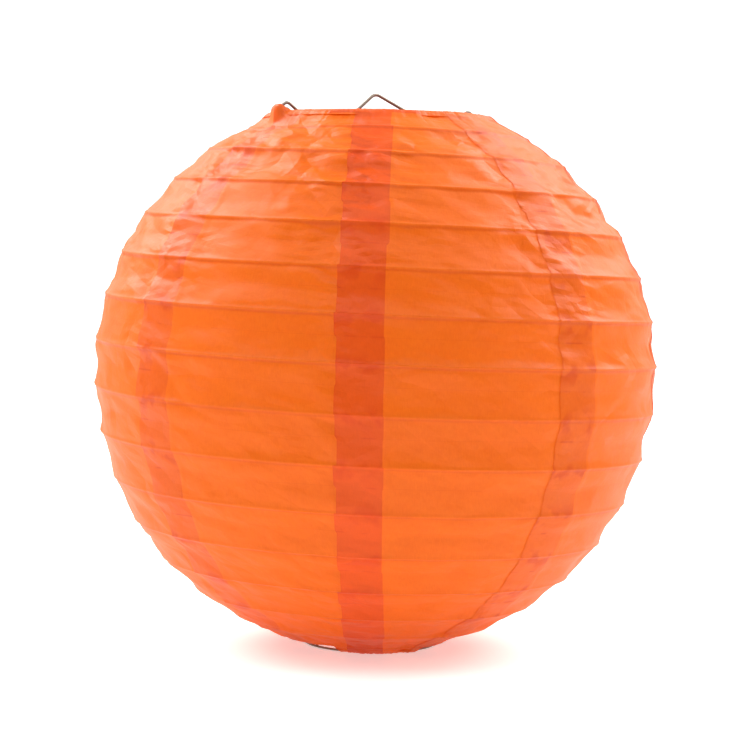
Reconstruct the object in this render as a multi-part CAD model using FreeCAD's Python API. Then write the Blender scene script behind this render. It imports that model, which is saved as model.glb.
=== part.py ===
"""Round paper lantern, 300 mm across, standing on its bottom ring.

Eight paper gores lap over each other at their edges and make a ball, a little flatter above
its widest level than below. One steel wire winds round the inside of the paper as a spiral
rib. A steel ring edges the top mouth and a smaller one the bottom mouth. A wire expander,
bent from a single length, holds the two rings apart and arches up in the middle, where the
lantern hangs. +Z is up, +X runs along the plane of the expander, and the origin is on the
axis, level with the underside of the bottom ring. Lengths are in millimetres.
"""

import FreeCAD, Part

import math
import os

from FreeCAD import Vector

# Ball of paper
BALL_RADIUS = 150.0
UPPER_HEIGHT = 145.0
LOWER_HEIGHT = 153.0
EQUATOR_Z = 150.0
PAPER = 0.25
PAPER_GAP = 0.05
GORE_COUNT = 8
FIRST_SEAM_DEG = 10.2
LAP_WIDTH = 24.0

# Rings
TOP_RING_RADIUS = 57.5
BOTTOM_RING_RADIUS = 35.3
RING_WIRE = 1.2
TOP_RING_Z = 284.0
BOTTOM_RING_Z = RING_WIRE / 2
EDGE_TO_RING = 1.5

# Spiral rib: the polar angle is measured down from the top of the axis
RIB_WIRE = 0.8
RIB_FIRST_POLAR_DEG = 24.0
RIB_POLAR_PER_TURN_DEG = 9.43
RIB_START_DEG = 8.0
RIB_TURNS = 14.95
RIB_SPANS_PER_TURN = 4

# Expander
EXPANDER_WIRE = 1.6
RING_PLAY = 0.2
SLOT_WIDTH = 6.0
TOP_SLOT_REACH = 6.5
BOTTOM_SLOT_REACH = 5.0
SLOT_DEPTH = 12.0

# The hanging arch and the bar each side of it, as x and height above the top ring's plane,
# with the radius of each bend. It was bent by hand, so its two sides differ.
ARCH_BAR = [
    (-44.0, -4.0, 5.0),
    (-22.2, -4.0, 5.0),
    (-3.1, 12.2, 5.0),
    (33.6, -4.0, 6.0),
    (44.0, -4.0, 5.0),
]


def ball_point(depth, polar, azimuth_deg=0.0):
    """The point that far under the paper's outer face; polar is in radians."""
    turn = math.radians(azimuth_deg)
    half_height = UPPER_HEIGHT if polar < math.pi / 2 else LOWER_HEIGHT
    across = (BALL_RADIUS - depth) * math.sin(polar)
    height = EQUATOR_Z + (half_height - depth) * math.cos(polar)
    return Vector(across * math.cos(turn), across * math.sin(turn), height)


def polar_at(radius):
    """The polar angle above the equator at which the ball is that wide."""
    return math.asin(radius / BALL_RADIUS)


def save(shape, node):
    """Writes one node, and says how many solids it has and how large they are."""
    box = shape.BoundBox
    print(
        f"{node}: solids {len(shape.Solids)}, valid {shape.isValid()},"
        f" volume {shape.Volume:.1f} mm3, z {box.ZMin:.2f} to {box.ZMax:.2f}"
    )
    shape.exportStep(f"parts/{node}.step")


def profile_edges(depth):
    """The ball's outline at that depth, from the top mouth's edge to the bottom mouth's."""
    top_polar = polar_at(TOP_RING_RADIUS + EDGE_TO_RING)
    bottom_polar = math.pi - polar_at(BOTTOM_RING_RADIUS + EDGE_TO_RING)
    centre = Vector(0, 0, EQUATOR_Z)
    side = ball_point(depth, math.pi / 2)
    upper = Part.Ellipse(side, ball_point(depth, 0.0), centre)
    lower = Part.Ellipse(ball_point(depth, math.pi), side, centre)
    # An ellipse's parameter runs from its longer axis to its shorter one.
    upper_arc = Part.ArcOfEllipse(upper, 0.0, math.pi / 2 - top_polar)
    lower_arc = Part.ArcOfEllipse(lower, math.pi - bottom_polar, math.pi / 2)
    return upper_arc, lower_arc


def shell_sector(outer_depth, inner_depth, start_deg, sweep_deg):
    """Part of the ball's skin between two depths, from the top mouth to the bottom one."""
    outer_upper, outer_lower = profile_edges(outer_depth)
    inner_upper, inner_lower = profile_edges(inner_depth)
    outline = Part.Wire(
        [
            outer_upper.toShape(),
            Part.LineSegment(outer_upper.EndPoint, inner_upper.EndPoint).toShape(),
            inner_upper.toShape(),
            inner_lower.toShape(),
            Part.LineSegment(inner_lower.StartPoint, outer_lower.StartPoint).toShape(),
            outer_lower.toShape(),
        ]
    )
    sector = Part.Face(outline).revolve(Vector(0, 0, 0), Vector(0, 0, 1), sweep_deg)
    sector.rotate(Vector(0, 0, 0), Vector(0, 0, 1), start_deg)
    return sector


def hook_slots():
    """The four openings in the paper's hems where the expander reaches the rings."""
    slots = []
    for radius, height, reach in (
        (TOP_RING_RADIUS, TOP_RING_Z, TOP_SLOT_REACH),
        (BOTTOM_RING_RADIUS, BOTTOM_RING_Z, BOTTOM_SLOT_REACH),
    ):
        for side in (-1, 1):
            near = min(side * radius, side * (radius + reach))
            corner = Vector(near, -SLOT_WIDTH / 2, height - SLOT_DEPTH / 2)
            slots.append(Part.makeBox(reach, SLOT_WIDTH, SLOT_DEPTH, corner))
    return slots


def paper_gore(index):
    """One gore: a sheet, with the flap along one edge that is glued over the gore before it.

    The sheet starts where its own flap ends and runs on under the next gore's flap.
    """
    flap_inner = PAPER
    sheet_outer = PAPER + PAPER_GAP
    sheet_inner = sheet_outer + PAPER
    gap_deg = math.degrees(PAPER_GAP / BALL_RADIUS)
    step_deg = math.degrees(4 * PAPER / BALL_RADIUS)
    lap_deg = math.degrees(LAP_WIDTH / BALL_RADIUS)
    gore_deg = 360.0 / GORE_COUNT
    lap_start = FIRST_SEAM_DEG + index * gore_deg - lap_deg / 2
    lap_end = lap_start + lap_deg
    sheet = shell_sector(sheet_outer, sheet_inner, lap_end, gore_deg - gap_deg)
    flap = shell_sector(0.0, flap_inner, lap_start, lap_deg + step_deg)
    step = shell_sector(PAPER / 2, sheet_outer + PAPER / 2, lap_end, step_deg)
    return sheet.fuse([flap, step]).cut(hook_slots())


def ring(radius, height):
    """A closed ring of round wire, with its centre line at that height."""
    return Part.makeTorus(radius, RING_WIRE / 2, Vector(0, 0, height), Vector(0, 0, 1))


def sweep(path, wire):
    """Round wire of that diameter along a path."""
    first = path.Edges[0]
    start = first.valueAt(first.FirstParameter)
    along = first.tangentAt(first.FirstParameter)
    section = Part.Wire([Part.makeCircle(wire / 2, start, along)])
    solid = path.makePipeShell([section], True, False)
    ratio = solid.Volume / (path.Length * math.pi * wire**2 / 4)
    print(f"  {path.Length:.1f} mm of wire, volume over section times length {ratio:.4f}")
    return solid


def bend(enter, corner, leave):
    """The round bend that turns at a corner and is tangent to both runs where it meets them."""
    back = enter - corner
    ahead = leave - corner
    cut = back.Length
    half = back.getAngle(ahead) / 2
    radius = cut * math.tan(half)
    to_middle = radius / math.sin(half) - radius
    middle = corner + (back.normalize() + ahead.normalize()).normalize() * to_middle
    return Part.Arc(enter, middle, leave).toShape()


def rib_point(turns):
    """The rib's centre line, that many turns down from its upper end."""
    depth = 2 * PAPER + 2 * PAPER_GAP + RIB_WIRE / 2
    polar = math.radians(RIB_FIRST_POLAR_DEG + RIB_POLAR_PER_TURN_DEG * turns)
    return ball_point(depth, polar, RIB_START_DEG + 360.0 * turns)


def rib_direction(turns):
    """The way that the centre line runs there."""
    step = 1e-4
    return (rib_point(turns + step) - rib_point(turns - step)).normalize()


def spiral_rib():
    """One wire on the inside of the paper, going down as it winds round the ball.

    Between points on the spiral run two arcs that are tangent to it and to each other.
    """
    spans = round(RIB_TURNS * RIB_SPANS_PER_TURN)
    edges = []
    for i in range(spans):
        start = RIB_TURNS * i / spans
        end = RIB_TURNS * (i + 1) / spans
        run = rib_point(end) - rib_point(start)
        both = rib_direction(start) + rib_direction(end)
        spread = 2 * (1 - rib_direction(start).dot(rib_direction(end)))
        along = run.dot(both)
        cut = (math.sqrt(along**2 + spread * run.dot(run)) - along) / spread
        first = rib_point(start) + rib_direction(start) * cut
        second = rib_point(end) - rib_direction(end) * cut
        middle = (first + second) * 0.5
        edges.append(bend(rib_point(start), first, middle))
        edges.append(bend(middle, second, rib_point(end)))
    return sweep(Part.Wire(edges), RIB_WIRE)


def bent_wire_path(corners):
    """Straight runs joined by round bends, through corners given as (x, z, bend radius)."""
    points = [Vector(x, 0, z) for x, z, _ in corners]
    edges = []
    reached = points[0]
    for i in range(1, len(points) - 1):
        back = (points[i - 1] - points[i]).normalize()
        ahead = (points[i + 1] - points[i]).normalize()
        cut = corners[i][2] / math.tan(back.getAngle(ahead) / 2)
        enter = points[i] + back * cut
        leave = points[i] + ahead * cut
        if (enter - reached).dot(back) > 0:
            raise ValueError(f"the bend at {points[i]} has no room")
        edges.append(Part.LineSegment(reached, enter).toShape())
        edges.append(bend(enter, points[i], leave))
        reached = leave
    edges.append(Part.LineSegment(reached, points[-1]).toShape())
    return Part.Wire(edges)


def half_expander():
    """Corners of the right half, from the lip over the top ring down to the foot's end.

    The wire arches over the top ring, turns back above it, goes down inside it and out again
    below it as a ledge, so the ring lies in a notch that opens outwards. At the foot it turns
    in over the bottom ring and ends pointing down inside it.
    """
    reach = (RING_WIRE + EXPANDER_WIRE) / 2 + RING_PLAY
    notch = TOP_RING_RADIUS - reach
    ledge = BOTTOM_RING_Z + reach - RING_PLAY / 4
    return [
        (57.2, TOP_RING_Z + 5.4, 2.6),
        (62.6, TOP_RING_Z + reach, 0.95),
        (notch, TOP_RING_Z + reach, reach * 0.98),
        (notch, TOP_RING_Z - reach, reach * 0.98),
        (60.9, TOP_RING_Z - reach, 0.95),
        (56.0, TOP_RING_Z - 9.0, 6.0),
        (37.3, ledge, 1.2),
        (BOTTOM_RING_RADIUS - reach - RING_PLAY, ledge, 0.95),
        (BOTTOM_RING_RADIUS - reach - RING_PLAY, RING_WIRE / 4, 0.0),
    ]


def wire_expander():
    """The expander, bent from one length of wire in the XZ plane."""
    right = half_expander()
    left = [(-x, z, bend) for x, z, bend in reversed(right)]
    bar = [(x, TOP_RING_Z + z, bend) for x, z, bend in ARCH_BAR]
    return sweep(bent_wire_path(left + bar + right), EXPANDER_WIRE)


if __name__ == "__main__":
    os.makedirs("parts", exist_ok=True)
    for i in range(GORE_COUNT):
        save(paper_gore(i), f"paper_gore_{i + 1}")
    save(spiral_rib(), "spiral_rib")
    save(ring(TOP_RING_RADIUS, TOP_RING_Z), "top_ring")
    save(ring(BOTTOM_RING_RADIUS, BOTTOM_RING_Z), "bottom_ring")
    save(wire_expander(), "wire_expander")
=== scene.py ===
# %% [markdown]
# # Round paper lantern
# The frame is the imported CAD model: eight paper gores, the spiral rib, two rings and the wire
# expander. The paper and the rib are made again here as thin, creased pieces at the same places.
# The rings and the expander are shown as they come from the CAD.

# %% Load the frame
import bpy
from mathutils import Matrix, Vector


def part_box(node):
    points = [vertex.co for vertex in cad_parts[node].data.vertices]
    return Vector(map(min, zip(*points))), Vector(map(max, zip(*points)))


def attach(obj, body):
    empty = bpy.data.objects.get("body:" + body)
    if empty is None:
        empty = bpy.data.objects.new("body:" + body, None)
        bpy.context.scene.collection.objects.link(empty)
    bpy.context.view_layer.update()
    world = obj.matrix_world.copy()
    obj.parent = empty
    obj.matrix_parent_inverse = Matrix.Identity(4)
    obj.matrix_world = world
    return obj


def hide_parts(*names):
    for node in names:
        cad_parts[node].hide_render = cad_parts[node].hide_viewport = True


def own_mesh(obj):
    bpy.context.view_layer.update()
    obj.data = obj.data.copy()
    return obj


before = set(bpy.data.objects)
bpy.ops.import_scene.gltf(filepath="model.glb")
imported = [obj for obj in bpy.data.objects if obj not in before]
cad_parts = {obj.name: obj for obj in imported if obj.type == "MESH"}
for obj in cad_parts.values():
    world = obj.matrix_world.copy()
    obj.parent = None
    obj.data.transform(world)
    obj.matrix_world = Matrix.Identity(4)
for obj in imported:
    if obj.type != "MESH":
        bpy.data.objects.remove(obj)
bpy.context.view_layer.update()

import ast
import math

import bpy
from mathutils import Matrix, Vector

print("nodes:", ", ".join(sorted(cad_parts)))

# %% [markdown]
# ## Sizes
# Everything is in millimetres until it is made, and the ring sizes are read from the CAD nodes.
# Polar angles run down from the top of the ball, azimuths run anticlockwise seen from above.

# %% Sizes of the lantern
MM = 0.001
RADIUS = 150.0          # of the ball at its widest
UP, DOWN = 145.0, 153.0  # from the widest level to the top and the bottom of the ball
MIDDLE = 150.0          # height of the widest level
GORES = 8
FIRST_SEAM = math.radians(10.2)
SEAM_STEP = math.tau / GORES
FIRST_RIB = math.radians(24.0)
PITCH = math.radians(9.43)
RIB_START = math.radians(8.0)
RIB_TURNS = 14.95
BAND = PITCH * RADIUS   # paper between two turns of the rib


def ring_size(name):
    """Radius to the middle of the wire, height of its middle, and the wire's radius."""
    low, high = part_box(name)
    wire = (high.z - low.z) / 2 / MM
    return high.x / MM - wire, (high.z + low.z) / 2 / MM, wire


TOP_R, TOP_Z, RING_WIRE = ring_size("top_ring")
FOOT_R, FOOT_Z, _ = ring_size("bottom_ring")
print(f"top ring {TOP_R:.1f} at {TOP_Z:.1f}, bottom ring {FOOT_R:.1f} at {FOOT_Z:.1f}, band {BAND:.1f} mm")

# %% [markdown]
# ## Nodes
# One function adds a node. Another turns a written formula into math nodes, so that the trees
# below can be read as formulas. A third makes a plain mesh from a geometry tree.

# %% Node helpers
SIGNS = {ast.Add: "ADD", ast.Sub: "SUBTRACT", ast.Mult: "MULTIPLY", ast.Div: "DIVIDE",
         ast.Pow: "POWER", ast.Mod: "FLOORED_MODULO"}
CALLS = {"sin": "SINE", "cos": "COSINE", "asin": "ARCSINE", "abs": "ABSOLUTE", "floor": "FLOOR",
         "round": "ROUND", "fract": "FRACT", "exp": "EXPONENT", "min": "MINIMUM", "max": "MAXIMUM",
         "over": "GREATER_THAN", "under": "LESS_THAN"}
TURNS = {"tau": math.tau, "pi": math.pi}   # may be written in any formula


def add(tree, kind, inputs=None, **settings):
    """A new node. Each input is linked if it is given a socket, and set if it is given a value."""
    node = tree.nodes.new(kind)
    for name, value in settings.items():
        setattr(node, name, value)
    for name, value in (inputs or {}).items():
        if isinstance(value, bpy.types.NodeSocket):
            tree.links.new(value, node.inputs[name])
        else:
            node.inputs[name].default_value = value
    return node


def formula(tree, text, **values):
    """The formula as math nodes. smooth(a, b, x) eases from 0 at x = a to 1 at x = b."""
    def build(part):
        if isinstance(part, ast.Constant):
            return float(part.value)
        if isinstance(part, ast.Name):
            return values[part.id] if part.id in values else TURNS[part.id]
        if isinstance(part, ast.UnaryOp):
            return add(tree, "ShaderNodeMath", {0: 0.0, 1: build(part.operand)}, operation="SUBTRACT").outputs[0]
        if isinstance(part, ast.BinOp):
            sides = {0: build(part.left), 1: build(part.right)}
            return add(tree, "ShaderNodeMath", sides, operation=SIGNS[type(part.op)]).outputs[0]
        given = [build(a) for a in part.args]
        if part.func.id == "smooth":
            ends = {"Value": given[2], "From Min": given[0], "From Max": given[1]}
            return add(tree, "ShaderNodeMapRange", ends, interpolation_type="SMOOTHSTEP").outputs[0]
        return add(tree, "ShaderNodeMath", dict(enumerate(given)), operation=CALLS[part.func.id]).outputs[0]

    return build(ast.parse(text).body[0].value)


def join(tree, x, y, z=0.0):
    """A vector from three numbers."""
    return add(tree, "ShaderNodeCombineXYZ", {0: x, 1: y, 2: z}).outputs[0]


def dice(tree, x, y, z=0.0):
    """A random number from 0 to 1 for each different set of three."""
    return add(tree, "ShaderNodeTexWhiteNoise", {"Vector": join(tree, x, y, z)}).outputs["Value"]


def facets(tree, along, seed, period=1e6):
    """Random heights from -1 to 1, one at each whole number, with straight lines between them."""
    low = formula(tree, "floor(x)", x=along)
    ends = {name: dice(tree, formula(tree, "(x + n) % period", x=low, n=n, period=period), seed)
            for name, n in (("a", 0.0), ("b", 1.0))}
    return formula(tree, "2*(a + (b - a)*(x - low)) - 1", x=along, low=low, **ends)


def crumpled(tree, x, y, seed, period=(1e6, 1e6)):
    """Random heights from -1 to 1 at whole x and y, with flat triangles between them."""
    parts = {"i": formula(tree, "floor(x)", x=x), "j": formula(tree, "floor(y)", y=y)}
    u, v = formula(tree, "x - i", x=x, i=parts["i"]), formula(tree, "y - j", y=y, j=parts["j"])
    corner = {}
    for name, di, dj in (("a", 0, 0), ("b", 1, 0), ("c", 0, 1), ("d", 1, 1)):
        corner[name] = dice(tree, formula(tree, "(i + n) % period", i=parts["i"], n=float(di), period=period[0]),
                            formula(tree, "(j + n) % period", j=parts["j"], n=float(dj), period=period[1]), seed)
    low = formula(tree, "a + u*(b - a) + v*(d - b)", u=u, v=v, **{k: corner[k] for k in "abd"})
    high = formula(tree, "a + v*(c - a) + u*(d - c)", u=u, v=v, **{k: corner[k] for k in "acd"})
    return formula(tree, "2*(high + (low - high)*over(u, v)) - 1", low=low, high=high, u=u, v=v)


def cloud(tree, where, scale, detail=2.0, rough=0.5):
    """Soft noise from 0 to 1. The scale is in patches per unit of where."""
    values = {"Vector": where, "Scale": scale, "Detail": detail, "Roughness": rough}
    return add(tree, "ShaderNodeTexNoise", values).outputs[0]


def outward(tree, polar, azimuth, level):
    """How far the real shape stands out from the ball, in mm: fuller below, slack by the left hook."""
    turn = formula(tree, "a % tau - 3.1416", a=azimuth)
    return formula(tree, "1.9*exp(0 - ((p - 2.25)/0.42)**2) + 0.7*exp(0 - ((p - 1.6)/0.5)**2)"
                   " - 3.0*exp(0 - ((level - 70)/6.5)**2)*exp(0 - (turn/0.6)**2)*under(p, 1.5)",
                   p=polar, turn=turn, level=level)


def new_tree(name, **inputs):
    """An empty geometry tree with named inputs, and the sockets of those inputs."""
    tree = bpy.data.node_groups.new(name, "GeometryNodeTree")
    tree.interface.new_socket("Geometry", in_out="OUTPUT", socket_type="NodeSocketGeometry")
    for label, kind in inputs.items():
        tree.interface.new_socket(label, in_out="INPUT", socket_type="NodeSocket" + kind)
    return tree, add(tree, "NodeGroupInput").outputs


def close_tree(tree, shape, material):
    """Ends a geometry tree: real geometry, with the material on it."""
    real = add(tree, "GeometryNodeRealizeInstances", {0: shape}).outputs[0]
    shown = add(tree, "GeometryNodeSetMaterial", {"Geometry": real, "Material": material}).outputs[0]
    add(tree, "NodeGroupOutput", {"Geometry": shown})


def keep(tree, shape, name, kind, value, domain="POINT"):
    """Stores a value on the mesh under a name."""
    data = {"Geometry": shape, "Name": name, "Value": value}
    return add(tree, "GeometryNodeStoreNamedAttribute", data, data_type=kind, domain=domain).outputs[0]


def close_sheet(tree, shape, spot, place, material):
    """Ends the tree of a sheet: moves the flat grid to its real place, and keeps the flat one as its UVs."""
    held = {"spot": spot, "place": place}
    for name, value in held.items():
        shape = keep(tree, shape, name, "FLOAT_VECTOR", value)
    read = {name: add(tree, "GeometryNodeInputNamedAttribute", {"Name": name}, data_type="FLOAT_VECTOR").outputs[0]
            for name in held}
    shape = add(tree, "GeometryNodeSetPosition", {"Geometry": shape, "Position": read["spot"]}).outputs[0]
    shape = keep(tree, shape, "UVMap", "FLOAT2", read["place"], "CORNER")
    for name in held:
        shape = add(tree, "GeometryNodeRemoveAttribute", {"Geometry": shape, "Name": name}).outputs[0]
    shape = add(tree, "GeometryNodeSetShadeSmooth", {"Geometry": shape, "Shade Smooth": True}).outputs[0]
    close_tree(tree, shape, material)


def make(name, tree, **values):
    """A mesh object made by a geometry tree with these inputs."""
    holder = bpy.data.objects.new(name, bpy.data.meshes.new(name))
    bpy.context.scene.collection.objects.link(holder)
    modifier = holder.modifiers.new("Shape", "NODES")
    modifier.node_group = tree
    for item in tree.interface.items_tree:
        if item.in_out == "INPUT":
            modifier[item.identifier] = values[item.name]
    graph = bpy.context.evaluated_depsgraph_get()
    graph.update()
    mesh = bpy.data.meshes.new_from_object(holder.evaluated_get(graph), preserve_all_data_layers=True,
                                           depsgraph=graph)
    mesh.name = name
    holder.modifiers.clear()
    holder.data = mesh
    print(f"{name}: {len(mesh.polygons)} faces")
    return holder


def linear(colour):
    """An sRGB hex colour as linear numbers."""
    parts = [int(colour[i:i + 2], 16) / 255 for i in (1, 3, 5)]
    return [p / 12.92 if p < 0.04045 else ((p + 0.055) / 1.055) ** 2.4 for p in parts] + [1.0]


# %% [markdown]
# ## Materials
# The paper is thin machine-made tissue, dyed through. It scatters light, and lets some through.
# Where two layers lie on each other it is painted darker and redder: painted shade, since two layers let
# less light through. A thin line under the rib and tucks in the laps are painted darker as shade too.
# Its long fibres give it a fine grain.

# %% Dyed tissue paper
def tissue_paper():
    material = bpy.data.materials.new("dyed tissue paper, orange")
    material.use_nodes = True
    tree = material.node_tree
    tree.nodes.clear()
    place = add(tree, "ShaderNodeUVMap", uv_map="UVMap").outputs[0]
    edge = add(tree, "ShaderNodeAttribute", attribute_name="past_edge").outputs["Fac"]
    rib = add(tree, "ShaderNodeAttribute", attribute_name="below_rib").outputs["Fac"]
    # long fibres that run down the sheet, about half a millimetre apart
    thread = add(tree, "ShaderNodeMapping", {"Vector": place, "Scale": (1900.0, 260.0, 1.0)}).outputs[0]
    fibre = cloud(tree, thread, 1.0, 3.0, 0.6)
    # the dye takes up unevenly, in patches of a few millimetres and of a few centimetres
    patch = cloud(tree, place, 55.0, 4.0, 0.6)
    speck = cloud(tree, place, 420.0, 2.0, 0.6)
    tone = formula(tree, "0.5 + 0.55*(a - 0.5) + 0.5*(b - 0.5) + 0.35*(c - 0.5)", a=fibre, b=patch, c=speck)
    # the colour of one layer, and of two layers painted darker and redder as painted shade
    single = add(tree, "ShaderNodeMix", {"Factor": tone, 6: linear("#E06008"), 7: linear("#F57A14")},
                 data_type="RGBA").outputs[2]
    double_shade = add(tree, "ShaderNodeMix", {"Factor": tone, 6: linear("#CF4602"), 7: linear("#E6580A")},
                 data_type="RGBA").outputs[2]
    # painted shade: two layers of paper let less light through, so the overlap is painted darker and redder; it ends
    # in a crisp line
    layered = formula(tree, "smooth(0.0002, -0.0003, e)", e=edge)
    lap_shade = add(tree, "ShaderNodeAttribute", attribute_name="lap_shade").outputs["Fac"]
    share = formula(tree, "l*p", l=layered, p=lap_shade)
    dyed_and_shaded = add(tree, "ShaderNodeMix", {"Factor": share, 6: single, 7: double_shade}, data_type="RGBA").outputs[2]
    # painted shadow: a thin line just under the rib is painted darker, where the ridge over the wire shades the paper
    rib_shadow = formula(tree, "0.4*exp(0 - ((r - 0.0013)/0.0007)**2)", r=rib)
    dyed_and_shaded = add(tree, "ShaderNodeMix", {"Factor": rib_shadow, 6: dyed_and_shaded, 7: linear("#D04A05")}, data_type="RGBA").outputs[2]
    # creases finer than the mesh, where the sheet was handled, and faintly everywhere
    creased = add(tree, "ShaderNodeAttribute", attribute_name="creased").outputs["Fac"]
    split = add(tree, "ShaderNodeSeparateXYZ", {0: place}).outputs
    drift = cloud(tree, place, 30.0, 1.0)
    broad = crumpled(tree, formula(tree, "(u + 0.3*v)/0.015 + 3*n", u=split[0], v=split[1], n=drift),
                     formula(tree, "(v - 0.2*u)/0.008 + 2*n", u=split[0], v=split[1], n=drift), 91.0)
    tight = crumpled(tree, formula(tree, "(u - 0.5*v)/0.006 + 5*n", u=split[0], v=split[1], n=drift),
                     formula(tree, "(v + 0.3*u)/0.0035 + 4*n", u=split[0], v=split[1], n=drift), 92.0)
    # painted shade: darker patches in the laps just under and above the rib, where tucked paper lies in more layers
    # and lets less light through
    tuck = cloud(tree, place, 95.0, 2.0)
    tuck_shade = formula(tree, "0.55*l*smooth(0.47, 0.62, n)*exp(0 - ((r - 0.002)/0.006)**2)", l=layered, n=tuck, r=rib)
    dyed_and_shaded = add(tree, "ShaderNodeMix", {"Factor": tuck_shade, 6: dyed_and_shaded, 7: linear("#CC3A00")}, data_type="RGBA").outputs[2]
    height = formula(tree, "0.00005*a + 0.0001*b + (0.14 + c)*(0.0012*p + 0.0004*q)",
                     a=fibre, b=speck, c=creased, p=broad, q=tight)
    bump = add(tree, "ShaderNodeBump", {"Height": height, "Strength": 1.0, "Distance": 1.0}).outputs[0]
    front = add(tree, "ShaderNodeBsdfPrincipled", {"Base Color": dyed_and_shaded, "Roughness": 0.46, "Normal": bump,
                                                   "Specular IOR Level": 0.24}).outputs[0]
    behind = add(tree, "ShaderNodeBsdfTranslucent", {"Color": dyed_and_shaded, "Normal": bump}).outputs[0]
    through = formula(tree, "0.25 - 0.15*l", l=share)
    both = add(tree, "ShaderNodeMixShader", {0: through, 1: front, 2: behind}).outputs[0]
    add(tree, "ShaderNodeOutputMaterial", {"Surface": both})
    return material


# %% Drawn steel wire
def drawn_wire(name, colour, rough):
    """Wire pulled through a die: fine lines along it and a dull, slightly uneven skin."""
    material = bpy.data.materials.new(name)
    material.use_nodes = True
    tree = material.node_tree
    tree.nodes.clear()
    place = add(tree, "ShaderNodeTexCoord").outputs["Object"]
    stain = cloud(tree, place, 180.0, 4.0, 0.6)
    mark = cloud(tree, place, 2500.0, 2.0, 0.5)
    dull = add(tree, "ShaderNodeMix", {"Factor": stain, 6: linear(colour), 7: linear("#776B5E")},
               data_type="RGBA").outputs[2]
    worn = formula(tree, "rough + 0.25*(a - 0.5) + 0.1*(b - 0.5)", rough=rough, a=stain, b=mark)
    bump = add(tree, "ShaderNodeBump", {"Height": mark, "Strength": 0.25, "Distance": 0.0002}).outputs[0]
    skin = add(tree, "ShaderNodeBsdfPrincipled", {"Base Color": dull, "Metallic": 0.9, "Roughness": worn,
                                                  "Normal": bump}).outputs[0]
    add(tree, "ShaderNodeOutputMaterial", {"Surface": skin})
    return material


PAPER = tissue_paper()
WIRE = drawn_wire("drawn steel wire, dull", "#A3978A", 0.42)
print("materials:", PAPER.name, "and", WIRE.name)

# %% [markdown]
# ## Paper gores
# Each gore is one open sheet, a grid of points whose rows follow the rib. Between two turns of the
# rib the paper is pulled straight, and folds a little inward along a crease half way, where the
# lantern folds flat. Crossing creases break each half into flat facets. Near the seams and towards
# the top the paper is crumpled. The low edge of each gore lies over the next one.

# %% Geometry tree for a gore
COLUMNS, BAND_ROWS, END_ROWS = 132, 22, 20
LIPS = (0.0, math.pi)                      # where the expander hooks over the rings
HEMMED = [(math.radians(a), math.radians(b)) for a, b in ((18, 138), (211, 277))]
# long creases: azimuth and polar angle of both ends in degrees, then depth and half width in mm
CREASES = [
    (186, 84, 203, 97, 0.55, 1.6), (190, 93, 222, 101, 0.45, 2.0), (199, 108, 219, 104, 0.4, 1.4),
    (248, 74, 268, 80, 0.45, 1.8), (252, 88, 262, 70, 0.3, 1.2), (271, 60, 294, 72, 0.5, 1.6),
    (206, 56, 224, 63, 0.4, 1.4), (215, 128, 232, 122, 0.35, 1.5), (258, 118, 276, 125, 0.35, 1.5),
    (285, 100, 299, 92, 0.4, 1.6), (30, 70, 52, 82, 0.5, 1.6), (120, 92, 140, 84, 0.45, 1.6),
]


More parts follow.
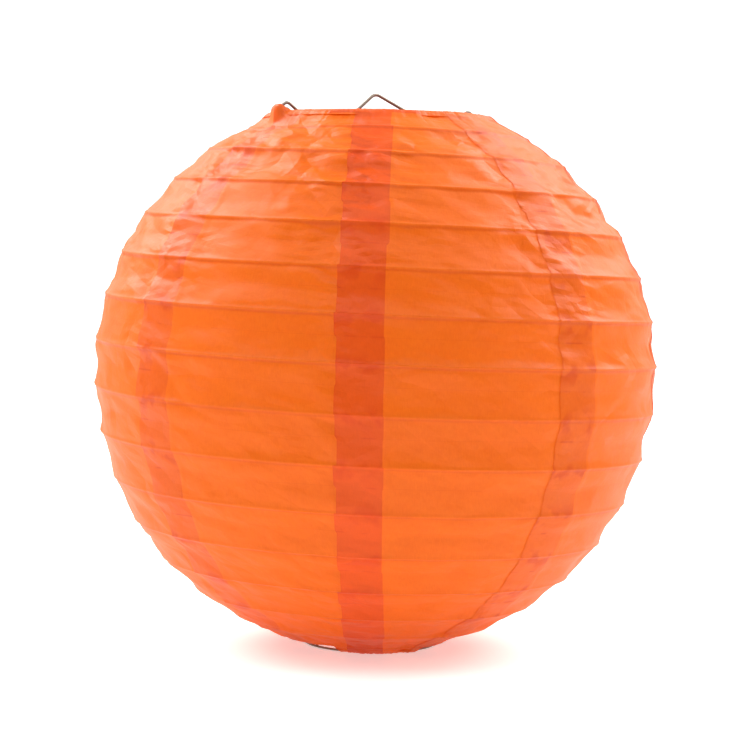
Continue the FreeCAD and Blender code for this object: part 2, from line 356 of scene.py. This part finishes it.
def gore_tree():
    names = {"Number": "Int", "First turn": "Float", "Last turn": "Float", "Material": "Material"}
    tree, given = new_tree("Gore of a paper lantern", **names)
    number, first, last = given["Number"], given["First turn"], given["Last turn"]

    def f(text, **values):
        return formula(tree, text, **values)

    rows = f("ends*2 + band*(b - a) + 1", ends=float(END_ROWS), band=float(BAND_ROWS), a=first, b=last)
    grid = add(tree, "GeometryNodeMeshGrid", {"Vertices X": COLUMNS, "Vertices Y": rows})
    across = add(tree, "ShaderNodeSeparateXYZ", {0: add(tree, "GeometryNodeInputPosition").outputs[0]}).outputs
    s = f("x + 0.5", x=across[0])
    row = f("round((0.5 - y)*(rows - 1))", y=across[1], rows=rows)

    # the row's place down the sheet, in turns of the rib below the first one
    seam = f("seam + n*step", seam=FIRST_SEAM, n=number, step=SEAM_STEP)
    middle = f("(seam + step/2 - start)/tau", seam=seam, step=SEAM_STEP, start=RIB_START)
    run = f("min(max((row - ends)/band, 0), b - a)", row=row, ends=float(END_ROWS), band=float(BAND_ROWS),
            a=first, b=last)
    run = f("run - 0.115*sin(tau*run)", run=run)
    above = f("1 - min(row/ends, 1)", row=row, ends=float(END_ROWS))
    below = f("max((row - rows + 1)/ends + 1, 0)", row=row, rows=rows, ends=float(END_ROWS))

    def place_down(top_edge, bottom_edge, turn):
        """Turns of the rib at this row, when the sheet ends at these polar angles."""
        top = f("(edge - first)/pitch - turn", edge=top_edge, first=FIRST_RIB, pitch=PITCH, turn=turn)
        bottom = f("(edge - first)/pitch - turn", edge=bottom_edge, first=FIRST_RIB, pitch=PITCH, turn=turn)
        return f("a + run + (top - a)*above + (bottom - b)*below", a=first, b=last, run=run,
                 top=top, bottom=bottom, above=above, below=below)

    rough_t = place_down(math.asin(TOP_R / RADIUS), math.pi - math.asin(FOOT_R / RADIUS), middle)
    rough_polar = f("first + pitch*(t + turn)", first=FIRST_RIB, pitch=PITCH, t=rough_t, turn=middle)
    level = f("radius*sin(polar)", radius=RADIUS, polar=rough_polar)
    half_lap = f("12 - 2.5*((p - 1.536)/1.15)**2", p=rough_polar)

    def lap_edge(seam_number, sign, spread, salt):
        """Azimuth of the sheet's edge at a seam; it steps a little from one half band to the next."""
        half = f("floor(2*t) + 2*floor(n/8)", t=rough_t, n=seam_number)
        step = dice(tree, f("n % 8", n=seam_number), half, salt)
        drift = dice(tree, f("n % 8", n=seam_number), f("floor(h/7)", h=half), salt + 0.5)
        return f("seam + n*step + (sign*lap + spread*(2*w - 1) + 1.2*(d - 0.5))/level",
                 seam=FIRST_SEAM, n=seam_number, step=SEAM_STEP, sign=sign, lap=half_lap, spread=spread, w=step, d=drift, level=level)

    upper_number = f("n + 1", n=number)
    low_edge = lap_edge(number, -1.0, 1.1, 3.0)
    high_edge = lap_edge(upper_number, 1.0, 0.5, 7.0)
    hidden_edge = lap_edge(number, 1.0, 0.5, 7.0)
    azimuth = f("a + (b - a)*s", a=low_edge, b=high_edge, s=s)

    # the sheet's ends, with room for the hooks and, at the bottom, for the bare stretches of ring
    lip = [f("exp(0 - (((a - at + pi) % tau - pi)*level/w)**2)", a=azimuth, at=at, level=r, w=w)
           for r, w in ((TOP_R, 6.0), (FOOT_R, 6.0)) for at in LIPS]
    lip_top, lip_foot = f("a + b", a=lip[0], b=lip[1]), f("a + b", a=lip[2], b=lip[3])
    turn_round = f("a % tau", a=azimuth)
    hems = [f("smooth(a - 0.02, a + 0.02, x)*smooth(b + 0.02, b - 0.02, x)", a=a, b=b, x=turn_round)
            for a, b in HEMMED]
    hem = f("a + b", a=hems[0], b=hems[1])
    wave = facets(tree, f("a*251/tau", a=azimuth), 51.0, 251.0)
    top_edge = f("asin((r + 0.95 + 0.12*w + 2.6*lip)/ball)", r=TOP_R, w=wave, lip=lip_top, ball=RADIUS)
    bottom_edge = f("pi - asin((r + 0.95 + 1.9*(1 - hem) + 0.12*w + 3*lip)/ball)",
                    r=FOOT_R, hem=hem, w=wave, lip=lip_foot, ball=RADIUS)

    turn = f("(a - start)/tau", a=azimuth, start=RIB_START)
    t = place_down(top_edge, bottom_edge, turn)
    polar = f("first + pitch*(t + turn)", first=FIRST_RIB, pitch=PITCH, t=t, turn=turn)
    b = f("fract(t)", t=t)
    along = f("floor(t) + turn", t=t, turn=turn)     # the same for both sheets at a seam
    side = f("floor(2*b)", b=b)
    level = f("radius*sin(polar)", radius=RADIUS, polar=polar)
    lift = f("cos(polar)", polar=polar)

    # a smooth copy of the place, in metres, that noise is read from
    ball = join(tree, f("r*cos(a)*mm", r=level, a=azimuth, mm=MM), f("r*sin(a)*mm", r=level, a=azimuth, mm=MM),
                f("0.15*c", c=lift))

    # signed distance from the nearest seam, mm, and from the nearest rib
    off_seam = f("((a - seam + h) % step - h)*level", a=azimuth, seam=FIRST_SEAM, h=SEAM_STEP / 2,
                 step=SEAM_STEP, level=level)
    nearest = f("round(t)", t=t)
    winds = f("nearest + turn", nearest=nearest, turn=turn)
    has_rib = f("over(w, 0)*under(w, turns)", w=winds, turns=RIB_TURNS)
    from_rib = f("(t - n)*band", t=t, n=nearest, band=BAND)
    stretched = f("smooth(-0.1, 0.1, w)*smooth(end + 0.05, end - 0.1, w)", w=along, end=RIB_TURNS - 1)

    # pulled straight between two turns, and folded along the middle
    bow = f("0.51*4*b*(1 - b)", b=b)
    crease_at = f("0.5 + 0.07*w", w=facets(tree, f("x*11", x=along), 5.0))
    tent = f("min(b/m, (1 - b)/(1 - m))", b=b, m=crease_at)
    lean = f("x + 0.012*(b - 0.5)*w", x=along, b=b, w=facets(tree, f("x*13", x=along), 15.0))
    wide = facets(tree, f("x*23 + 0.6*sin(x*31)", x=lean), 21.0)
    close = facets(tree, f("x*57 + 0.5*sin(x*19)", x=lean), 22.0)
    fold = f("(0.45 + 0.55*smooth(0.5, 1.0, p))*(1 - 0.5*smooth(2.0, 2.6, p))*tent*(1.2 + 0.75*wide + 0.35*close)",
             p=polar, tent=tent, wide=wide, close=close)
    halves = facets(tree, f("x*41 + side*7.3 + 0.5*sin(x*23)", x=lean, side=side), f("side + 31", side=side))
    flats = f("0.65*abs(sin(tau*b))*w", b=b, w=halves)

    # the rib under the paper: a thin crest, and a small trough under it
    crest = f("has*(0.28*exp(0 - (d/0.8)**2) - 0.2*exp(0 - ((d - 2.0)/0.8)**2))", has=has_rib, d=from_rib)

    # crumples: ridges of two sizes where the paper was handled, near the seams and towards the top
    worn = f("smooth(0.42, 0.62, c)", c=cloud(tree, ball, 22.0, 1.0))
    by_seam = f("exp(0 - ((d + 15)/11)**2)", d=off_seam)
    upper = f("smooth(1.75, 0.7, p)", p=polar)
    where = f("min(1, 0.12 + (0.35*worn + 0.75*seam)*(0.35 + 0.65*up) + 0.35*worn*up)",
              worn=worn, seam=by_seam, up=upper)
    bent = [cloud(tree, ball, 20.0, 1.0), cloud(tree, ball, 23.0, 1.0)]
    big = crumpled(tree, f("(a*36 + p*18)/tau + 3*n", a=azimuth, p=polar, n=bent[0]),
                   f("(p*94 - a*18)/tau + 3*n", a=azimuth, p=polar, n=bent[1]), 81.0, (36.0, 18.0))
    small = crumpled(tree, f("(a*84 - p*63)/tau + 4*n", a=azimuth, p=polar, n=bent[1]),
                     f("(p*171 + a*28)/tau + 4*n", a=azimuth, p=polar, n=bent[0]), 82.0, (84.0, 28.0))
    crumple = f("smooth(0, 0.16, min(b, 1 - b))*(1 - 0.6*under(p, 0.55))"
                "*(where*(1.35*big + 0.6*small - 0.45) + 0.3*big + 0.12*small)",
                p=polar, where=where, b=b, big=big, small=small)

    # single long creases
    long = 0.0
    for a0, p0, a1, p1, deep, wide_mm in CREASES:
        a0, p0, a1, p1 = (math.radians(v) for v in (a0, p0, a1, p1))
        width, height = (a1 - a0) * RADIUS * math.sin((p0 + p1) / 2), (p1 - p0) * RADIUS
        size = math.hypot(width, height)
        x = f("((a - a0 + pi) % tau - pi)*level", a=turn_round, a0=a0, level=level)
        y = f("(p - p0)*ball", p=polar, p0=p0, ball=RADIUS)
        way = f("x*u + y*v", x=x, y=y, u=width / size, v=height / size)
        away = f("y*u - x*v + 1.2*sin(way/9)", x=x, y=y, u=width / size, v=height / size, way=way)
        window = f("smooth(0, 9, way)*smooth(size, size - 12, way)", way=way, size=size)
        long = f("long + deep*window*(exp(0 - abs(away)/wide) - 0.6*exp(0 - abs(away - 3.5*wide)/(2*wide)))",
                 long=long, deep=deep, window=window, away=away, wide=wide_mm)

    # gathers where the paper is turned over the rings
    from_top = f("(polar - edge)*ball", polar=polar, edge=top_edge, ball=RADIUS)
    from_foot = f("(edge - polar)*ball", polar=polar, edge=bottom_edge, ball=RADIUS)
    pleats = facets(tree, f("a*207/tau + 0.7*sin(a*17)", a=azimuth), 61.0, 207.0)
    fine = facets(tree, f("a*534/tau", a=azimuth), 62.0, 534.0)
    gather = f("(0.34*p*smooth(0, 3, t) + 0.12*q + 0.12)*(exp(0 - t/10) + 0.8*exp(0 - f/9))",
               p=pleats, q=fine, t=from_top, f=from_foot)

    # how deep the sheet lies: its low edge is the outer layer of the lap
    outer = f("smooth(4.5, 1.0, (a - hidden)*level)", a=azimuth, hidden=hidden_edge, level=level)
    layer = f("0.36 - 0.26*outer", outer=outer)
    loose = f("smooth(2.45, 2.6, x)*smooth(3.75, 3.6, x)", x=turn_round)
    onto_ring = f("1.35*smooth(8, 1, t) + 1.7*hem*smooth(11, 1, f) - 1.8*loose*smooth(10, 0, f)",
                  t=from_top, f=from_foot, hem=hem, loose=loose)
    reach = [f("exp(0 - (((a - at + pi) % tau - pi)*level/5.6)**4)", a=azimuth, at=at, level=level) for at in LIPS]
    tent_up = f("5.0*(l + m)*smooth(67.5, 62.5, level)*over(lift, 0)", l=reach[0], m=reach[1], level=level, lift=lift)

    height = f("on*(0 - bow - fold + flats) + crest - layer + onto + tent + gather + quiet*crumple - long",
               on=stretched, bow=bow, fold=fold, flats=flats, crest=crest, layer=layer, onto=onto_ring, tent=tent_up,
               gather=gather, quiet=f("smooth(0, 6, t)*smooth(0, 6, f)", t=from_top, f=from_foot),
               crumple=crumple, long=long)
    height = f("h + out", h=height, out=outward(tree, polar, azimuth, level))
    radius = f("(ball + h)*sin(p)*mm", ball=RADIUS, h=height, p=polar, mm=MM)
    tall = f("(down + (up - down)*over(c, 0) + h)*c", up=UP, down=DOWN, c=lift, h=height)
    spot = join(tree, f("r*cos(a)", r=radius, a=azimuth), f("r*sin(a)", r=radius, a=azimuth),
                f("(middle + tall)*mm", middle=MIDDLE, tall=tall, mm=MM))

    shape = grid.outputs["Mesh"]
    past_edge = f("mm*min((a - hidden)*level, t - 3.6 - 0.5*w)", mm=MM, a=azimuth, hidden=hidden_edge,
                  level=level, t=from_top, w=pleats)
    below_rib = f("mm*(d + 50*(1 - has))", mm=MM, d=from_rib, has=has_rib)
    # how strongly each lap is painted darker as painted shade: a random share, and the most on the lap that faces the
    # camera, so it is the darkest
    lap = f("round((a - seam)/step) % 8", a=azimuth, seam=FIRST_SEAM, step=SEAM_STEP)
    lap_shade = f("0.3 + 0.2*d + 0.65*under(abs(lap - 5), 0.5)", lap=lap, d=dice(tree, lap, 71.0))
    # where each point lies on the flat sheet, in metres, with the sheets set apart from each other
    sheet_place = join(tree, f("mm*((a - seam)*level + 400*n)", mm=MM, a=azimuth, seam=seam, level=level, n=number),
                       f("mm*ball*p", mm=MM, ball=RADIUS, p=polar))
    # the values are stored before the points move, since they are worked out from the flat grid
    shape = keep(tree, shape, "past_edge", "FLOAT", past_edge)
    shape = keep(tree, shape, "below_rib", "FLOAT", below_rib)
    shape = keep(tree, shape, "creased", "FLOAT", where)
    shape = keep(tree, shape, "lap_shade", "FLOAT", lap_shade)
    close_sheet(tree, shape, spot, sheet_place, given["Material"])
    return tree


# %% Make the eight gores
GORE_TREE = gore_tree()
gores = []
for i in range(GORES):
    start = (FIRST_SEAM + i * SEAM_STEP - RIB_START) / math.tau
    end = start + 1 / GORES
    top_turn = (math.asin(TOP_R / RADIUS) - FIRST_RIB) / PITCH
    foot_turn = (math.pi - math.asin(FOOT_R / RADIUS) - FIRST_RIB) / PITCH
    first, last = math.ceil(top_turn - start + 0.08), math.floor(foot_turn - end - 0.08)
    gore = make(f"paper_gore_{i + 1}_sheet", GORE_TREE, Number=i, Material=PAPER,
                **{"First turn": float(first), "Last turn": float(last)})
    gores.append(gore)

# %% [markdown]
# ## Hems
# A strip of the same paper is turned over each ring. It goes all the way round the top ring but
# for the two hooks, and round two stretches of the bottom ring.

# %% Geometry tree for a hem
def hem_tree():
    names = dict.fromkeys(("Ring radius", "Ring height", "Up", "Start", "End"), "Float")
    names |= {"Columns": "Int", "Lean": "Float", "Outer strip": "Float", "Inner strip": "Float",
              "Material": "Material"}
    tree, given = new_tree("Hem turned over a ring", **names)

    def f(text, **values):
        return formula(tree, text, **values)

    rows, snug = 37, 0.68
    grid = add(tree, "GeometryNodeMeshGrid", {"Vertices X": given["Columns"], "Vertices Y": rows})
    across = add(tree, "ShaderNodeSeparateXYZ", {0: add(tree, "GeometryNodeInputPosition").outputs[0]}).outputs
    azimuth = f("a + (b - a)*(x + 0.5)", a=given["Start"], b=given["End"], x=across[0])
    bend = f("3.28*snug", snug=snug)
    # more rows where the strip bends round the wire
    q = f("0.5 - y", y=across[1])
    way = f("(outer + inner + bend)*q", outer=given["Outer strip"], inner=given["Inner strip"], bend=bend, q=q)
    pleats = facets(tree, f("a*70", a=azimuth), 71.0)
    fine = facets(tree, f("a*190", a=azimuth), 72.0)
    loose = f("snug + 0.08*abs(p) + 0.03*q", snug=snug, p=pleats, q=fine)
    angle = f("lean + min(max((way - outer)/snug, 0), 3.28)", lean=given["Lean"], way=way,
              outer=given["Outer strip"], snug=snug)
    before = f("min(way - outer, 0)", way=way, outer=given["Outer strip"])
    after = f("max(way - outer - bend, 0)", way=way, outer=given["Outer strip"], bend=bend)
    r = f("ring + loose*cos(n) - sin(n)*(before + after)", ring=given["Ring radius"], loose=loose, n=angle,
          before=before, after=after)
    z = f("high + up*(loose*sin(n) + cos(n)*(before + after))", high=given["Ring height"], up=given["Up"],
          loose=loose, n=angle, before=before, after=after)
    spot = join(tree, f("r*cos(a)*mm", r=r, a=azimuth, mm=MM), f("r*sin(a)*mm", r=r, a=azimuth, mm=MM),
                f("z*mm", z=z, mm=MM))
    # the same on every point: past the edge of the lap, and far from any rib
    shape = keep(tree, grid.outputs["Mesh"], "past_edge", "FLOAT", f("0 - 0.002 + 0*q", q=q))
    shape = keep(tree, shape, "below_rib", "FLOAT", f("0.05 + 0*q", q=q))
    place = join(tree, f("ring*a*mm", ring=given["Ring radius"], a=azimuth, mm=MM), f("way*mm", way=way, mm=MM))
    close_sheet(tree, shape, spot, place, given["Material"])
    return tree


# %% Make the hems
HEM_TREE = hem_tree()
SLOPE_TOP, SLOPE_FOOT = math.radians(67.5), math.radians(76.6)
hems = []
for name, ring, spans, up, lean in (
    ("top_hem", (TOP_R, TOP_Z), ((6.5, 173.5), (186.5, 353.5)), 1.0, SLOPE_TOP),
    ("bottom_hem", (FOOT_R, FOOT_Z), ((18, 138), (211, 277)), -1.0, SLOPE_FOOT),
):
    for k, (start, end) in enumerate(spans):
        values = {"Ring radius": ring[0], "Ring height": ring[1], "Up": up, "Start": math.radians(start),
                  "End": math.radians(end), "Columns": int((end - start) * 3), "Lean": lean,
                  "Outer strip": 1.5, "Inner strip": 6.0, "Material": PAPER}
        hems.append(make(f"{name}_{k + 1}", HEM_TREE, **values))

# %% [markdown]
# ## Spiral rib
# One thin wire inside the paper, swept along the same spiral as the CAD node.

# %% Geometry tree for the rib
def rib_tree():
    names = {"Points": "Int", "Wire radius": "Float", "Depth": "Float", "Material": "Material"}
    tree, given = new_tree("Spiral rib", **names)

    def f(text, **values):
        return formula(tree, text, **values)

    line = add(tree, "GeometryNodeMeshLine", {"Count": given["Points"]}).outputs[0]
    share = f("i/(n - 1)", i=add(tree, "GeometryNodeInputIndex").outputs[0], n=given["Points"])
    azimuth = f("start + tau*turns*s", start=RIB_START, turns=RIB_TURNS, s=share)
    polar = f("first + pitch*turns*s", first=FIRST_RIB, pitch=PITCH, turns=RIB_TURNS, s=share)
    out = outward(tree, polar, azimuth, f("ball*sin(p)", ball=RADIUS, p=polar))
    depth = f("d - out", d=given["Depth"], out=out)
    r = f("(ball - d)*sin(p)*mm", ball=RADIUS, d=depth, p=polar, mm=MM)
    z = f("(middle + (down + (up - down)*over(cos(p), 0) - d)*cos(p))*mm", middle=MIDDLE, up=UP, down=DOWN,
          d=depth, p=polar, mm=MM)
    spot = join(tree, f("r*cos(a)", r=r, a=azimuth), f("r*sin(a)", r=r, a=azimuth), z)
    path = add(tree, "GeometryNodeSetPosition", {"Geometry": line, "Position": spot}).outputs[0]
    path = add(tree, "GeometryNodeMeshToCurve", {"Mesh": path}).outputs[0]
    thick = f("r*mm", r=given["Wire radius"], mm=MM)
    ring = add(tree, "GeometryNodeCurvePrimitiveCircle", {"Resolution": 8, "Radius": thick}).outputs[0]
    wire = add(tree, "GeometryNodeCurveToMesh", {"Curve": path, "Profile Curve": ring, "Fill Caps": True}).outputs[0]
    wire = add(tree, "GeometryNodeSetShadeSmooth", {"Geometry": wire, "Shade Smooth": True}).outputs[0]
    close_tree(tree, wire, given["Material"])
    return tree


# %% Make the rib
rib = make("spiral_rib_wire", rib_tree(), Points=1600, Material=WIRE, **{"Wire radius": 0.4, "Depth": 1.5})

# %% [markdown]
# ## The rings and the expander
# These are the CAD nodes themselves, with the dull skin of drawn wire.

# %% Wire on the CAD nodes
for name in ("top_ring", "bottom_ring", "wire_expander"):
    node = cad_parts[name]
    node.data.materials.clear()
    node.data.materials.append(WIRE)
    print(name, "is", WIRE.name)

# %% [markdown]
# ## What moves with what
# The paper and the rib stand on the bottom ring and go on the shade, with the bottom hem; the top hem goes on the top
# rim, the ring that comes down when the lantern folds flat.

# %% Bodies, and the CAD paper and rib put out of sight
for i, gore in enumerate(gores):
    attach(gore, "shade")
    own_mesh(gore)
    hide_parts(f"paper_gore_{i + 1}")
for hem in hems:
    body = "top_rim" if hem.name.startswith("top") else "shade"
    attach(hem, body)
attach(rib, "shade")
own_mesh(rib)
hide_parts("spiral_rib")

# %% [markdown]
# ## Room for the picture
# A plain pale floor that curves up into a wall, and a white surround. Two soft boxes stand to the
# left and right and one above. Two more behind the lantern give the paper its sheen at the sides.
# The card glows as painted light: most just under the lantern, where it lights the underside and softens the contact
# shadow, less further out, and most far off, so the sweep stays white.

# %% Floor, lights and camera
CAMERA_SIDE = 238.0     # azimuth of the camera, degrees


def lamp(name, azimuth, elevation, distance, size, power, colour="#FFFFFF"):
    """A soft box that faces the middle of the lantern. Azimuth is counted from the camera."""
    light = bpy.data.lights.new(name, "AREA")
    light.shape = "DISK"
    light.size, light.energy, light.color = size, power, linear(colour)[:3]
    holder = bpy.data.objects.new(name, light)
    a, e = math.radians(CAMERA_SIDE + azimuth), math.radians(elevation)
    away = Vector((math.cos(a) * math.cos(e), math.sin(a) * math.cos(e), math.sin(e)))
    holder.location = Vector((0, 0, 0.15)) + away * distance
    holder.rotation_euler = away.to_track_quat("Z", "Y").to_euler()
    bpy.context.scene.collection.objects.link(holder)
    return holder


lamp("soft_box_left", -70, 40, 1.5, 0.9, 8.6)
lamp("soft_box_right", 70, 40, 1.5, 0.9, 7.2)
lamp("rim_box_left", -124, 42, 1.6, 1.3, 32)
lamp("rim_box_right", 124, 42, 1.6, 1.3, 28)
lamp("soft_box_above", 0, 66, 1.6, 1.2, 9)
world = bpy.data.worlds.new("pale surround")
world.use_nodes = True
world.node_tree.nodes["Background"].inputs["Color"].default_value = (1, 1, 1, 1)
world.node_tree.nodes["Background"].inputs["Strength"].default_value = 0.2
bpy.context.scene.world = world
bpy.context.scene.view_settings.view_transform = "Standard"


def sweep(width, front, back, bend, tall):
    """A floor that curves up into a wall behind the lantern, seen from the camera."""
    profile = [(-front, 0.0), (back, 0.0)]
    profile += [(back + bend * math.sin(a), bend - bend * math.cos(a))
                for a in (math.pi / 24 * i for i in range(1, 13))]
    profile.append((back + bend, tall))
    away = math.radians(CAMERA_SIDE - 180)
    points = [(d * math.cos(away) - x * math.sin(away), d * math.sin(away) + x * math.cos(away), z - 0.0003)
              for d, z in profile for x in (-width / 2, width / 2)]
    mesh = bpy.data.meshes.new("pale_sweep")
    mesh.from_pydata(points, [], [(2 * i, 2 * i + 2, 2 * i + 3, 2 * i + 1) for i in range(len(profile) - 1)])
    mesh.shade_smooth()
    holder = bpy.data.objects.new("pale_sweep", mesh)
    bpy.context.scene.collection.objects.link(holder)
    return holder


floor = sweep(9.0, 4.0, 2.4, 0.8, 3.0)
card = bpy.data.materials.new("pale card")
card.use_nodes = True
far = add(card.node_tree, "ShaderNodeVectorMath", {0: add(card.node_tree, "ShaderNodeTexCoord").outputs["Object"]},
          operation="LENGTH").outputs["Value"]
skin = card.node_tree.nodes["Principled BSDF"].inputs
skin["Base Color"].default_value = linear("#F4F3F1")
skin["Roughness"].default_value = 0.8
skin["Emission Color"].default_value = (1, 1, 1, 1)
# painted light: the card's glow, strong under the lantern, weak at middle distance and strong far off
glow = formula(card.node_tree, "0.45 - 0.32*smooth(0.1, 0.4, d) + 0.5*smooth(0.7, 2.2, d)", d=far)
card.node_tree.links.new(glow, skin["Emission Strength"])
floor.data.materials.append(card)

lens = bpy.data.cameras.new("camera")
lens.lens = 111.9
camera = bpy.data.objects.new("camera", lens)
bpy.context.scene.collection.objects.link(camera)
camera.location = (-0.6659, -1.0657, 0.2157)
aim = (Vector((0, 0, 0.1451)) - camera.location).to_track_quat("-Z", "Y").to_matrix().to_4x4()
camera.matrix_world = Matrix.Translation(camera.location) @ aim @ Matrix.Rotation(math.radians(1.03), 4, "Z")
bpy.context.scene.camera = camera
